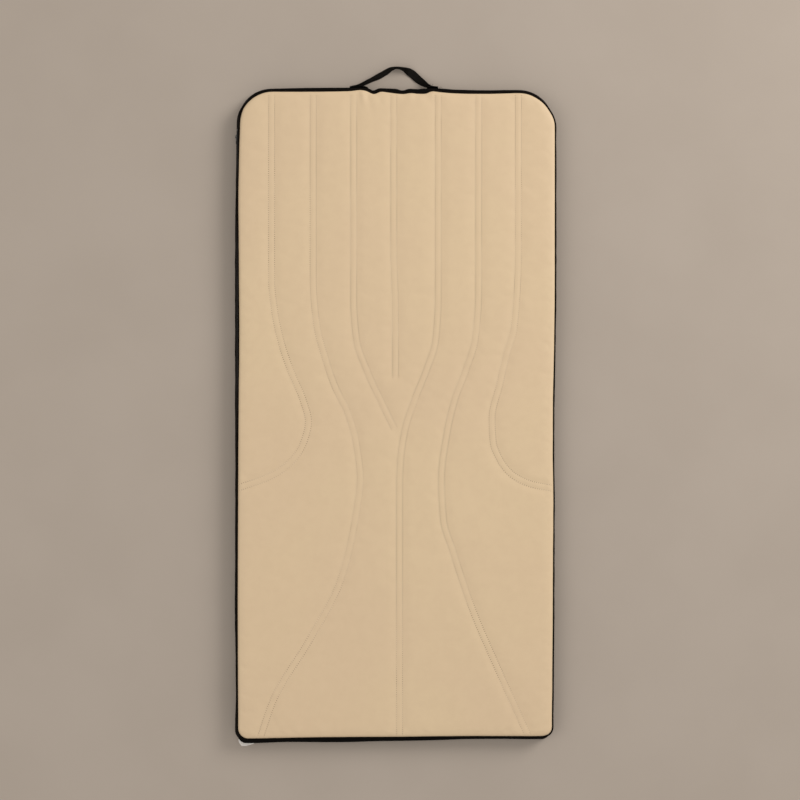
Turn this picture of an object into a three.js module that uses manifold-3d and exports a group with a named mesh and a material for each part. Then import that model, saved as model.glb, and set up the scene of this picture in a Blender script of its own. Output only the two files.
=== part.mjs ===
// Infrared sauna blanket: two heated quilts joined along one long side and zipped along the other.
// Millimetres, +Z up, +Y towards the head end. +X is the folded side and -X the zipped side.
// The origin is the centre of the base quilt's underside, on the surface that the blanket lies on.

import * as THREE from 'three';
import { mergeVertices } from 'three/addons/utils/BufferGeometryUtils.js';
import Module from 'manifold-3d';

const wasm = await Module();
wasm.setup();

// ---- driving dimensions ----

const HALF_WIDTH = 436.5;        // of both quilts, to the outside of the side band
const BASE_HALF_LENGTH = 901;
const COVER_HALF_LENGTH = 897;   // the base quilt shows a little beyond the cover at both ends
const HEAD_RADIUS = 95;
const FOOT_RADIUS = 30;
const QUILT_THICKNESS = 23;
const QUILT_GAP = 6;             // between the two inner liners
const MID_HEIGHT = QUILT_THICKNESS + QUILT_GAP / 2;
const HEAD_STEPS = 8;            // facets on each head corner
const FOOT_STEPS = 5;
const GAP = 0.3;                 // left between pieces that touch

const SKIN = 1.2;                // thickness of the outer panels and of the side bands

// layers of a quilt as [lowest, highest], counted from its outer face
const BATTING = [1.5, 14.5];
const FOIL = [14.8, 15.3];
const SCRIM = [15.6, 16.4];
const WIRE = [16.7, 18.5];
const SENSOR = [16.7, 19.5];
const FELT = [19.9, 21.7];
const LINER = [22, 23];
const LAYER_INSET = 18;          // the sewn-in layers stop short of the soft side band

const RIM_HEIGHT = 4.7;
const PIPING_RADIUS = 2.5;
const PIPING_INSET = 0.5;
const PIPING_HEIGHT = RIM_HEIGHT + GAP + PIPING_RADIUS;
const BAND = [PIPING_HEIGHT + PIPING_RADIUS + GAP, LINER[0] - GAP];

// heating wires run lengthwise, turn round at each end and leave both ends towards the foot
const WIRE_WIDTH = 2.4;
const WIRE_PASSES = 8;
const TORSO = { halfSpan: 300, foot: 60, head: 780 };
const LEGS = { halfSpan: 280, foot: -770, head: -60 };
const LEAD_WIDTH = 4;
const LEAD_SIDE = 395;           // the leads run up beside the heating wires
const LEAD_END = { legs: LEGS.foot - 0.5, torso: TORSO.foot - 2.5 };
const TURN_STEPS = 6;

// supply inlet in the foot end of the base quilt
const INLET_X = 280;
const INLET_HEIGHT = 16;
const FOOT_FACE = -BASE_HALF_LENGTH;
const HOUSING = { width: 24, height: 10, depth: 26 };
const SOCKET = { width: 18, height: 6.5, depth: 10 };
const BEZEL = { width: 35, height: 10.6, depth: 2 };
const BAND_CUT_WIDTH = 33;
const INLET_SCREW_OFFSET = 14.6;

// zip along the straight part of the -X side
const ZIP = { foot: -838.3, head: 790.3 };
const TAPE = { foot: -850, head: 800, foldHeight: 12, free: 25 };
const TAPE_THICKNESS = 0.8;
const TAPE_STANDOFF = 2;         // from the side band to the free half of the tape
const COIL = { out: 3.1, thickness: 2, low: 22.8, high: 25.2 };
const SLIDER_LENGTH = 12;
const SLIDER_HEIGHT = 9;
const SLIDER_AT_REST = 775;      // closed, up at the head end
const PULL_LENGTH = 20;

// fold strip along the +X side; the fold's axis is just outside everything on that side
const FOLD_STRIP = { foot: -850, head: 790, low: 12 };

// carry handle: one webbing strap standing on edge, sewn to the head end of the base quilt
const STRAP_THICKNESS = 2.4;
const STRAP = [1, 22.8];
const STRAP_FLEX_Y = 907.35;     // here the sewn ends stop and the free loop starts
const STRAP_ROUTE = [
  [-126, 904.7], [-108, 904.8], [-91, 911.5], [-28, 948.5], [8, 959],
  [50, 941], [96, 911.5], [112, 904.8], [130, 904.7],
];
const STRAP_STEPS = 28;

// hook and loop strips that close the foot end
const GRIP = { halfWidth: 390, foot: -893, head: -868, thickness: 2.1 };

const TAN = 0xd4ba9a;
const BLACK = 0x1a1613;
const LINER_GREY = 0x2b2a2c;

// ---- helpers ----

function material(color, roughness, metalness = 0) {
  return new THREE.MeshStandardMaterial({ color, roughness, metalness });
}

const leather = () => material(TAN, 0.55);
const blackLeather = () => material(BLACK, 0.6);
const trim = () => material(BLACK, 0.8);
const lining = () => material(LINER_GREY, 0.7);
const blackPlastic = () => material(0x151515, 0.45);
const darkMetal = () => material(0x3a3a3c, 0.35, 0.9);

/** Adds a named mesh to a group. */
function add(group, name, geometry, look) {
  const mesh = new THREE.Mesh(geometry, look);
  mesh.name = name;
  group.add(mesh);
  return mesh;
}

function toManifold(geometry) {
  const bare = geometry.clone();
  bare.deleteAttribute('normal');
  bare.deleteAttribute('uv');
  const merged = mergeVertices(bare, 1e-4);
  return new wasm.Manifold(new wasm.Mesh({
    numProp: 3,
    vertProperties: new Float32Array(merged.attributes.position.array),
    triVerts: new Uint32Array(merged.index.array),
  }));
}

function fromManifold(solid) {
  const mesh = solid.getMesh();
  const geometry = new THREE.BufferGeometry();
  geometry.setAttribute('position', new THREE.BufferAttribute(mesh.vertProperties, 3));
  geometry.setIndex(new THREE.BufferAttribute(mesh.triVerts, 1));
  return geometry;
}

function join(...geometries) {
  return fromManifold(geometries.map(toManifold).reduce((whole, next) => whole.add(next)));
}

function cut(geometry, ...cutters) {
  const whole = toManifold(geometry);
  return fromManifold(cutters.map(toManifold).reduce((rest, next) => rest.subtract(next), whole));
}

function keepInside(geometry, region) {
  return fromManifold(toManifold(geometry).intersect(toManifold(region)));
}

/** A box between two corners. */
function box([x0, y0, z0], [x1, y1, z1]) {
  const geometry = new THREE.BoxGeometry(Math.abs(x1 - x0), Math.abs(y1 - y0), Math.abs(z1 - z0));
  return geometry.translate((x0 + x1) / 2, (y0 + y1) / 2, (z0 + z1) / 2);
}

/** A plan shape raised from one height to another. */
function raised(points, [low, high]) {
  const shape = new THREE.Shape(points);
  const geometry = new THREE.ExtrudeGeometry(shape, { depth: high - low, bevelEnabled: false });
  return geometry.translate(0, 0, low);
}

/** A cross-section given as [x, z] points, carried along Y. */
function alongY(section, y0, y1) {
  const shape = new THREE.Shape(section.map(([x, z]) => new THREE.Vector2(x, z)));
  const geometry = new THREE.ExtrudeGeometry(shape, { depth: y1 - y0, bevelEnabled: false });
  return geometry.rotateX(Math.PI / 2).translate(0, y1, 0);
}

/** A round pin lying along Y or Z. */
function pin(axis, radius, length, [x, y, z], sides = 12) {
  const geometry = new THREE.CylinderGeometry(radius, radius, length, sides);
  if (axis === 'z') geometry.rotateX(Math.PI / 2);
  return geometry.translate(x, y, z);
}

/** The quilt's rounded plan outline, moved in by an inset, anticlockwise. */
function outline(halfLength, inset) {
  const corners = [
    { sx: 1, sy: 1, radius: HEAD_RADIUS, steps: HEAD_STEPS },
    { sx: -1, sy: 1, radius: HEAD_RADIUS, steps: HEAD_STEPS },
    { sx: -1, sy: -1, radius: FOOT_RADIUS, steps: FOOT_STEPS },
    { sx: 1, sy: -1, radius: FOOT_RADIUS, steps: FOOT_STEPS },
  ];
  return corners.flatMap(({ sx, sy, radius, steps }, quarter) => {
    const r = radius - inset;
    const centreX = sx * (HALF_WIDTH - radius);
    const centreY = sy * (halfLength - radius);
    return Array.from({ length: steps + 1 }, (_, i) => {
      const angle = (quarter + i / steps) * Math.PI / 2;
      return new THREE.Vector2(centreX + r * Math.cos(angle), centreY + r * Math.sin(angle));
    });
  });
}

/**
 * Carries a section of [inset, z] points round the quilt's outline. The section goes up on the outside.
 * An open one starts and ends in a flat face across the quilt; a closed one makes a ring.
 */
function aroundQuilt(halfLength, section, closed = false) {
  const rings = section.map(([inset, z]) => outline(halfLength, inset).map((p) => [p.x, p.y, z]));
  const count = rings[0].length;
  const positions = rings.flat(2);
  const index = [];
  const lastRing = closed ? rings.length : rings.length - 1;
  for (let ring = 0; ring < lastRing; ring += 1) {
    const above = (ring + 1) % rings.length;
    for (let i = 0; i < count; i += 1) {
      const next = (i + 1) % count;
      const [a, b] = [ring * count + i, ring * count + next];
      const [c, d] = [above * count + next, above * count + i];
      index.push(a, b, c, a, c, d);
    }
  }
  if (!closed) {
    const top = (rings.length - 1) * count;
    for (let i = 1; i < count - 1; i += 1) {
      index.push(0, i + 1, i);
      index.push(top, top + i, top + i + 1);
    }
  }
  const geometry = new THREE.BufferGeometry();
  geometry.setAttribute('position', new THREE.Float32BufferAttribute(positions, 3));
  geometry.setIndex(index);
  return geometry;
}

function slab(halfLength, inset, [low, high]) {
  return aroundQuilt(halfLength, [[inset, low], [inset, high]]);
}

/** Both sides of a strip of constant width along a centre line, as one plan outline. */
function stripOutline(centres, width) {
  const sides = centres.map((centre, i) => {
    const before = centres[Math.max(i - 1, 0)];
    const after = centres[Math.min(i + 1, centres.length - 1)];
    const normal = new THREE.Vector2(before.y - after.y, after.x - before.x).setLength(width / 2);
    return { left: centre.clone().add(normal), right: centre.clone().sub(normal) };
  });
  return [...sides.map((s) => s.right), ...sides.map((s) => s.left).reverse()];
}

// ---- a quilt's soft layers, built outer face down ----

/** The outer skin: a shallow dish whose rim turns up towards the piping. */
function outerPanel(halfLength) {
  return aroundQuilt(halfLength, [
    [5, 0], [1.5, 1.5], [0, RIM_HEIGHT],
    [SKIN, RIM_HEIGHT], [2.6, 2.6], [6, SKIN],
  ]);
}

function piping(halfLength) {
  const sides = 8;
  const section = Array.from({ length: sides }, (_, i) => {
    const angle = (i / sides) * 2 * Math.PI;
    return [PIPING_INSET - PIPING_RADIUS * Math.cos(angle), PIPING_HEIGHT + PIPING_RADIUS * Math.sin(angle)];
  });
  return aroundQuilt(halfLength, section, true);
}

function sideBand(halfLength) {
  const [low, high] = BAND;
  return aroundQuilt(halfLength, [[0, low], [0, high], [SKIN, high], [SKIN, low]], true);
}

/** A heating wire's serpentine: straight passes joined by half turns, both free ends at the foot. */
function heatingWire({ halfSpan, foot, head }) {
  const pitch = 2 * halfSpan / (WIRE_PASSES - 1);
  const reach = pitch / 2;
  const route = (offset) => {
    const points = [new THREE.Vector2(-halfSpan - offset, foot)];
    for (let pass = 0; pass < WIRE_PASSES - 1; pass += 1) {
      const goingUp = pass % 2 === 0;
      const centreX = -halfSpan + (pass + 0.5) * pitch;
      const centreY = goingUp ? head - reach : foot + reach;
      const side = goingUp ? 1 : -1;
      for (let i = 0; i <= TURN_STEPS; i += 1) {
        const angle = Math.PI * (1 - i / TURN_STEPS);
        const r = reach + side * offset;
        points.push(new THREE.Vector2(centreX + r * Math.cos(angle), centreY + side * r * Math.sin(angle)));
      }
    }
    points.push(new THREE.Vector2(halfSpan + offset, foot));
    return points;
  };
  return raised([...route(WIRE_WIDTH / 2), ...route(-WIRE_WIDTH / 2).reverse()], WIRE);
}

/** Straight lengths of flat lead, each [x0, y0, x1, y1] along X or Y, sewn down as one piece. */
function lead(lengths) {
  const half = LEAD_WIDTH / 2;
  return join(...lengths.map(([x0, y0, x1, y1]) => {
    const [dx, dy] = x0 === x1 ? [half, 0] : [half, half];
    const low = [Math.min(x0, x1) - dx, Math.min(y0, y1) - dy, WIRE[0]];
    const high = [Math.max(x0, x1) + dx, Math.max(y0, y1) + dy, WIRE[1]];
    return box(low, high);
  }));
}

/** A flat-sided pad with round ends, lying along X. */
function stadium(length, width, [x, y], heights) {
  const half = length / 2 - width / 2;
  const shape = new THREE.Shape();
  shape.absarc(x + half, y, width / 2, -Math.PI / 2, Math.PI / 2);
  shape.absarc(x - half, y, width / 2, Math.PI / 2, 3 * Math.PI / 2);
  return raised(shape.getPoints(8), heights);
}

function inletPocket() {
  const half = BEZEL.width / 2 + 4;
  return box([INLET_X - half, FOOT_FACE - 1, -1], [INLET_X + half, FOOT_FACE + HOUSING.depth + 2, 30]);
}

function addSoftLayers(group, prefix, halfLength, shell, cutout) {
  const layer = (part, heights, look) => {
    const whole = slab(halfLength, LAYER_INSET, heights);
    add(group, `${prefix}_${part}`, cutout ? cut(whole, cutout) : whole, look);
  };
  add(group, `${prefix}_${shell.name}`, outerPanel(halfLength), shell.look);
  add(group, `${prefix}_piping`, piping(halfLength), trim());
  layer('insulation_batting', BATTING, material(0xf2efe6, 0.95));
  layer('reflective_foil', FOIL, material(0xc9ccd0, 0.2, 0.9));
  layer('heater_carrier', SCRIM, material(0xe8e4da, 0.9));
  layer('felt_layer', FELT, material(0xd9d4c8, 0.95));
  add(group, `${prefix}_inner_liner`, slab(halfLength, 0, LINER), lining());
}

function addHeaters(group, prefix) {
  const wire = () => material(0xb9452c, 0.6);
  const sensor = () => material(0x222222, 0.5);
  add(group, `${prefix}_heating_wire_torso`, heatingWire(TORSO), wire());
  add(group, `${prefix}_heating_wire_legs`, heatingWire(LEGS), wire());
  add(group, `${prefix}_temperature_sensor_torso`, stadium(16, 6, [0, 420], SENSOR), sensor());
  add(group, `${prefix}_temperature_sensor_legs`, stadium(16, 6, [0, -420], SENSOR), sensor());
  add(group, `${prefix}_thermal_cutout`, stadium(24, 9, [0, 300], SENSOR), sensor());
}

// ---- zip, fold and foot closures; zipSide is the quilt's own X direction of the zip ----

function zipTape(zipSide) {
  const x = (out) => zipSide * (HALF_WIDTH + out);
  const near = GAP;
  const far = TAPE_STANDOFF;
  const section = [
    [x(near), TAPE.foldHeight], [x(near), 16], [x(far), 18.7], [x(far), TAPE.free],
    [x(far + TAPE_THICKNESS), TAPE.free], [x(far + TAPE_THICKNESS), 18.4],
    [x(near + TAPE_THICKNESS), 15.7], [x(near + TAPE_THICKNESS), TAPE.foldHeight],
  ];
  return alongY(zipSide > 0 ? section.reverse() : section, TAPE.foot, TAPE.head);
}

/** Something on the zip line: a block between two places along it, as tall as asked. */
function onZipLine(zipSide, foot, head, [low, high], thickness = COIL.thickness) {
  const inner = zipSide * (HALF_WIDTH + COIL.out);
  const outer = zipSide * (HALF_WIDTH + COIL.out + thickness);
  return box([inner, foot, low], [outer, head, high]);
}

function foldStrip(foldSide) {
  const inner = foldSide * (HALF_WIDTH + GAP);
  const outer = foldSide * (HALF_WIDTH + GAP + 1);
  return box([inner, FOLD_STRIP.foot, FOLD_STRIP.low], [outer, FOLD_STRIP.head, MID_HEIGHT - GAP]);
}

function gripStrip() {
  const low = LINER[1] + GAP;
  return box([-GRIP.halfWidth, GRIP.foot, low], [GRIP.halfWidth, GRIP.head, low + GRIP.thickness]);
}

function addClosures(group, prefix, zipSide, gripName) {
  add(group, `${prefix}_zip_tape`, zipTape(zipSide), trim());
  add(group, `${prefix}_zip_coil`,
    onZipLine(zipSide, ZIP.foot, ZIP.head, [COIL.low, COIL.high]), blackPlastic());
  add(group, `${prefix}_zip_top_stop`,
    onZipLine(zipSide, ZIP.head + GAP, ZIP.head + 5, [COIL.low - 0.6, COIL.high]), darkMetal());
  add(group, `${prefix}_fold_strip`, foldStrip(-zipSide), blackLeather());
  add(group, `${prefix}_${gripName}`, gripStrip(), trim());
}

// ---- supply inlet ----

function inletBlock({ width, height, depth }, front) {
  const half = width / 2;
  return box(
    [INLET_X - half, front, INLET_HEIGHT - height / 2],
    [INLET_X + half, front + depth, INLET_HEIGHT + height / 2],
  );
}

function inletScrewSides() {
  return [-1, 1].map((side) => INLET_X + side * INLET_SCREW_OFFSET);
}

function inletScrewHoles(radius) {
  return inletScrewSides().map((x) => pin('y', radius, 12, [x, FOOT_FACE, INLET_HEIGHT]));
}

/** The socket's body, with the flange behind the band that the bezel is screwed to. */
function inletHousing() {
  const flangeFront = FOOT_FACE + SKIN + GAP;
  const body = inletBlock(HOUSING, FOOT_FACE);
  const flange = inletBlock({ width: BEZEL.width, height: HOUSING.height, depth: 2 }, flangeFront);
  const socket = inletBlock({ ...SOCKET, depth: SOCKET.depth + 1 }, FOOT_FACE - 1);
  return cut(join(body, flange), socket, ...inletScrewHoles(1.2));
}

function inletContacts() {
  const back = FOOT_FACE + SOCKET.depth - GAP;
  const plate = { width: SOCKET.width - 2 * GAP, height: SOCKET.height - 2 * GAP, depth: 1 };
  const pins = [-6, -2, 2, 6].map((x) => pin('y', 0.9, 6.5, [INLET_X + x, back - 4, INLET_HEIGHT], 10));
  return join(inletBlock(plate, back - plate.depth), ...pins);
}

function inletBezel() {
  const front = FOOT_FACE - GAP - BEZEL.depth;
  const opening = inletBlock({ width: SOCKET.width + 0.6, height: SOCKET.height + 0.6, depth: 6 }, front - 2);
  const seats = inletScrewSides().map((x) => pin('y', 2, 1.6, [x, front, INLET_HEIGHT], 16));
  return cut(inletBlock(BEZEL, front), opening, ...seats, ...inletScrewHoles(1.2));
}

/** A flush screw: its head sits in the bezel and its shank ends in the flange. */
function inletScrew(x) {
  const front = FOOT_FACE - GAP - BEZEL.depth;
  const head = pin('y', 1.7, 0.5, [x, front + 0.25, INLET_HEIGHT], 16);
  const shank = pin('y', 0.9, 5, [x, front + 2.9, INLET_HEIGHT]);
  return join(head, shank);
}

function addInlet(group) {
  add(group, 'inlet_housing', inletHousing(), blackPlastic());
  add(group, 'inlet_contacts', inletContacts(), material(0xc9a75a, 0.3, 1));
  add(group, 'inlet_bezel', inletBezel(), blackPlastic());
  inletScrewSides().forEach((x, i) => {
    add(group, `inlet_screw_${i === 0 ? 'left' : 'right'}`, inletScrew(x), darkMetal());
  });
}

// ---- carry handle and care label ----

/** The whole webbing strap, standing on edge along its route. */
function strap() {
  const curve = new THREE.CatmullRomCurve3(STRAP_ROUTE.map(([x, y]) => new THREE.Vector3(x, y, 0)));
  const centres = curve.getPoints(STRAP_STEPS).map((p) => new THREE.Vector2(p.x, p.y));
  return raised(stripOutline(centres, STRAP_THICKNESS), STRAP);
}

function strapEnd(side) {
  const near = STRAP_FLEX_Y - GAP / 2;
  return keepInside(strap(), box([0, BASE_HALF_LENGTH, 0], [side * 200, near, MID_HEIGHT]));
}

function strapLoop() {
  const near = STRAP_FLEX_Y + GAP / 2;
  return keepInside(strap(), box([-200, near, 0], [200, near + 100, MID_HEIGHT]));
}

/** The corner of the care label that shows past the rounded foot corner. It lies flat under the rim. */
function careLabel() {
  const centre = new THREE.Vector2(-(HALF_WIDTH - FOOT_RADIUS), -(BASE_HALF_LENGTH - FOOT_RADIUS));
  const hiddenRadius = FOOT_RADIUS - 3;
  const underRim = [200, 225, 250, 270].map((degrees) => {
    const angle = degrees * Math.PI / 180;
    return new THREE.Vector2(Math.cos(angle), Math.sin(angle)).multiplyScalar(hiddenRadius).add(centre);
  });
  const sewnEnd = new THREE.Vector2(-390, -(BASE_HALF_LENGTH - 3));
  const corners = [[-392, -909], [-424, -916], [-437, -897]].map(([x, y]) => new THREE.Vector2(x, y));
  return raised([...underRim, sewnEnd, ...corners].reverse(), [0.15, 0.55]);
}

// ---- assembly ----

function baseQuilt() {
  const group = new THREE.Group();
  const bandCut = box(
    [INLET_X - BAND_CUT_WIDTH / 2, FOOT_FACE - 1, 0],
    [INLET_X + BAND_CUT_WIDTH / 2, FOOT_FACE + 4, MID_HEIGHT],
  );
  const shell = { name: 'bottom_panel', look: blackLeather() };
  addSoftLayers(group, 'base', BASE_HALF_LENGTH, shell, inletPocket());
  add(group, 'base_side_band', cut(sideBand(BASE_HALF_LENGTH), bandCut), blackLeather());
  addHeaters(group, 'base');
  addClosures(group, 'base', -1, 'hook_strip');
  addInlet(group);

  const housingBack = FOOT_FACE + HOUSING.depth + 0.5;
  add(group, 'base_feed_lead', lead([
    [LEGS.halfSpan, housingBack, LEGS.halfSpan, LEAD_END.legs], [LEGS.halfSpan, -835, LEAD_SIDE, -835],
    [LEAD_SIDE, -835, LEAD_SIDE, LEAD_END.torso], [TORSO.halfSpan, LEAD_END.torso, LEAD_SIDE, LEAD_END.torso],
  ]), trim());
  add(group, 'base_return_lead', lead([
    [272, housingBack, 272, -850], [-LEAD_SIDE, -850, 272, -850],
    [-LEGS.halfSpan, -850, -LEGS.halfSpan, LEAD_END.legs], [-LEAD_SIDE, -850, -LEAD_SIDE, LEAD_END.torso],
    [-LEAD_SIDE, LEAD_END.torso, -TORSO.halfSpan, LEAD_END.torso],
  ]), trim());
  add(group, 'cover_supply_lead', lead([
    [288, housingBack, 288, -862], [288, -862, 428, -862],
  ]), trim());

  add(group, 'base_zip_retainer', onZipLine(-1, ZIP.foot - 8, ZIP.foot - GAP, [22.2, 25.7]), darkMetal());
  add(group, 'handle_end_left', strapEnd(-1), trim());
  add(group, 'handle_end_right', strapEnd(1), trim());
  add(group, 'care_label', careLabel(), material(0xd8cfc2, 0.8));
  return group;
}

/** The cover is a second quilt turned over about the Y axis, so its own +X is the zipped side. */
function coverQuilt() {
  const group = new THREE.Group();
  group.rotation.y = Math.PI;
  group.position.z = 2 * MID_HEIGHT;
  addSoftLayers(group, 'cover', COVER_HALF_LENGTH, { name: 'top_panel', look: leather() }, null);
  add(group, 'cover_side_band', sideBand(COVER_HALF_LENGTH), blackLeather());
  addHeaters(group, 'cover');
  addClosures(group, 'cover', 1, 'loop_strip');

  add(group, 'cover_feed_lead', lead([
    [-428, -848, -LEGS.halfSpan, -848], [-LEGS.halfSpan, -848, -LEGS.halfSpan, LEAD_END.legs],
    [-LEAD_SIDE, -848, -LEAD_SIDE, LEAD_END.torso],
    [-LEAD_SIDE, LEAD_END.torso, -TORSO.halfSpan, LEAD_END.torso],
  ]), trim());
  add(group, 'cover_return_lead', lead([
    [-428, -862, LEAD_SIDE, -862], [LEGS.halfSpan, -862, LEGS.halfSpan, LEAD_END.legs],
    [LEAD_SIDE, -862, LEAD_SIDE, LEAD_END.torso], [TORSO.halfSpan, LEAD_END.torso, LEAD_SIDE, LEAD_END.torso],
  ]), trim());
  add(group, 'cover_zip_pin', onZipLine(1, ZIP.foot - 8, ZIP.foot - GAP, [COIL.low, 25.7]), darkMetal());
  return group;
}

/** Two plates joined by a web that runs between the coils, with a bridge for the pull on the outside. */
function zipSlider() {
  const halfLength = SLIDER_LENGTH / 2;
  const halfHeight = SLIDER_HEIGHT / 2;
  const plate = (inner, outer) => box(
    [-HALF_WIDTH - outer, -halfLength, -halfHeight],
    [-HALF_WIDTH - inner, halfLength, halfHeight],
  );
  const web = box([-HALF_WIDTH - 6, -halfLength, -0.5], [-HALF_WIDTH - 1, halfLength, 0.5]);
  const bridge = cut(
    box([-HALF_WIDTH - 9.9, -3.8, -1.5], [-HALF_WIDTH - 6.5, 3.8, 1.5]),
    box([-HALF_WIDTH - 8.9, -2.6, -2], [-HALF_WIDTH - 6.7, 2.6, 2]),
  );
  return join(plate(0.5, 1.6), plate(5.5, 6.7), web, bridge);
}

/** The pull: a crossbar under the slider's bridge, two arms and a flat tab. */
function zipPull() {
  const x = -HALF_WIDTH - 7.8;
  const crossbar = pin('z', 0.7, 7, [x, 0, 0]);
  const arm = (z) => box([x - 0.6, -6, z - 0.7], [x + 0.6, 0, z + 0.7]);
  const tab = box([x - 0.6, -PULL_LENGTH, -3.5], [x + 0.6, -4.6, 3.5]);
  return join(crossbar, arm(-2.8), arm(2.8), tab);
}

function zipRunner() {
  const group = new THREE.Group();
  group.position.set(0, SLIDER_AT_REST, MID_HEIGHT);
  add(group, 'zip_slider_body', zipSlider(), darkMetal());
  add(group, 'zip_pull_tab', zipPull(), darkMetal());
  return group;
}

function saunaBlanket() {
  const blanket = new THREE.Group();
  blanket.add(baseQuilt(), coverQuilt(), zipRunner());
  add(blanket, 'handle_loop', strapLoop(), trim());
  return blanket;
}

export default saunaBlanket();
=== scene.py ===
"""An infrared sauna blanket, zipped shut and lying flat: the looks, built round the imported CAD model.

Lengths are in millimetres and become metres when a mesh is made. +X is the folded side, -X the zipped
side, +Y the head end, and Z is up from the floor.
"""

import math

import bmesh
import bpy
import numpy as np
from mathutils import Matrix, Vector, kdtree, noise
from mathutils.bvhtree import BVHTree


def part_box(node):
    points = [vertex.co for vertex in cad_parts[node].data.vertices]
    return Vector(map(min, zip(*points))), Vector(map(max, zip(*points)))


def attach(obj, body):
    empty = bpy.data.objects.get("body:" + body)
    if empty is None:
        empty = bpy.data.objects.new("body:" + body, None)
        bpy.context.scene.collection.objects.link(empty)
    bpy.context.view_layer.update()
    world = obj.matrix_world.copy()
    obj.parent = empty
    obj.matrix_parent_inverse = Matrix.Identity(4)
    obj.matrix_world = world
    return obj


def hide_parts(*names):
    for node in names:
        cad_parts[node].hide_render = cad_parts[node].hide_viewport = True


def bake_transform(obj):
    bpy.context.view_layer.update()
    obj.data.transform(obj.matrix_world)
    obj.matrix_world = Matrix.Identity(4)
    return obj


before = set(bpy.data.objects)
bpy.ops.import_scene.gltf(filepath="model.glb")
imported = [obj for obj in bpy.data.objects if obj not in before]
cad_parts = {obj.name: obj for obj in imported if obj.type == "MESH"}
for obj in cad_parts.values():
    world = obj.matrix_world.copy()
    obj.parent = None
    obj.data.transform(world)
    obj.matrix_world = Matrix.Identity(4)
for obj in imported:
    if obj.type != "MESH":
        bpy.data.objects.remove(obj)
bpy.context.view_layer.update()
MM = 0.001


def box_mm(node):
    """A CAD node's lowest and highest corner in millimetres."""
    low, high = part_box(node)
    return np.array(low) / MM, np.array(high) / MM


def height_of(node):
    low, high = box_mm(node)
    return (low[2] + high[2]) / 2


# ---- driving dimensions ----

BASE_PIPING_Z = height_of("base_piping")
COVER_PIPING_Z = height_of("cover_piping")
PIPING_RADIUS = 3.0
FACE_Z = box_mm("cover_top_panel")[1][2]         # of the cover's tan face
BASE_LINER = box_mm("base_inner_liner")
COVER_LINER = box_mm("cover_inner_liner")
MIDDLE_Z = (BASE_LINER[1][2] + COVER_LINER[0][2]) / 2
HALF_WIDTH = COVER_LINER[1][0]
COVER_HALF_LENGTH = COVER_LINER[1][1]
BASE_HALF_LENGTH = BASE_LINER[1][1]
ZIP_WALL = box_mm("base_zip_tape")[1][0]         # where the zip's tapes lie against the walls
ZIP_REACH = 14               # how far above and below the teeth the tapes and the slider need room
FOLD_AXIS = box_mm("base_fold_strip")[1][0] + 1
FOLD_GAP = 2 * PIPING_RADIUS + 2.4               # between the two outlines when the cover lies open
HEAD_RADIUS = 95
FOOT_RADIUS = 28

COLUMNS = 100        # cells across and along the cover's face before it is subdivided
ROWS = 208

SEAM_HALF_WIDTH = 8.4        # from the middle of a seam to either of its two rows of stitches
STITCH_PITCH = 6
STITCH_LENGTH = 3.6
THREAD_RADIUS = 0.52

CAMERA_HEIGHT = 4052
PICTURE_WIDTH = 2214         # what the camera sees across at the height of the face
CAMERA_X = 12.5
CAMERA_Y = 41.5

# How far each quilt's four corners lean out of the plain rectangle, as (x, y), and how its sides wander,
# as (place along the side, how far out). The places are x at the head and foot, y at the left and right.
COVER_LEAN = {"foot_left": (-0.5, -0.5), "foot_right": (-4, 3), "head_right": (3.5, -6),
              "head_left": (1.5, 1)}
COVER_SIDES = {
    "foot": [(-380, 0.7), (-292, -0.9), (-209, -1.9), (-126, -2.3), (0, -2.4), (123, -3.3), (206, -3.7),
             (300, -3.2), (380, -2.5)],
    "right": [(-844, 2.6), (-512, 3.6), (-250, 3.8), (-97, 1.6), (42, 1.9), (180, 3.8), (318, 5.2),
              (595, 4.4), (800, 3.8)],
    "head": [(-300, 0.3), (-220, 1.2), (-130, 3.4), (-98, 7), (-82, 4), (-62, -4.6), (-43, 3), (-24, 0.8),
             (0, -2.2), (19, -3.6), (40, -0.4), (60, -2.4), (79, -2.6), (98, 5), (123, 2.4), (165, -0.4),
             (206, -1.2), (248, -1), (289, 0.2), (331, 1.6)],
    "left": [(-844, 0.6), (-512, 2.3), (-235, 1.6), (42, 0.2), (180, -1.2), (380, -0.3), (595, 1.6),
             (733, -0.4), (805, -2.8)],
}
BASE_LEAN = {"foot_left": (-9, -10), "foot_right": (-1, -0.5), "head_right": (4, 4), "head_left": (-2.5, 10)}
BASE_SIDES = {
    "foot": [(-375, 4.7), (-292, 2.6), (-209, 4), (-126, 4.7), (-43, 3.2), (40, 2.9), (123, 1.9), (206, 0),
             (289, 0.3), (372, 2.2)],
    "right": [(-844, 0.5), (-300, 1), (40, 0.2), (420, 1.2), (780, 0.5)],
    "head": [(-340, -0.8), (-250, 2), (-167, 3.2), (-98, 3.9), (-82, 3.8), (-62, -4.4), (-44, 2.4),
             (-24, 2.1), (-1, 1.2), (18, -3.6), (38, 1.8), (58, 0.7), (79, 2), (98, 3.2), (123, 3),
             (165, 0), (248, -1.1), (331, 0.2)],
    "left": [(-844, 0.9), (-789, -1), (-512, 2.6), (-235, 2.4), (42, 4), (180, 4.6), (318, 5.2), (457, 5.3),
             (595, 4.4), (733, 3), (805, 1.8)],
}

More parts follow.
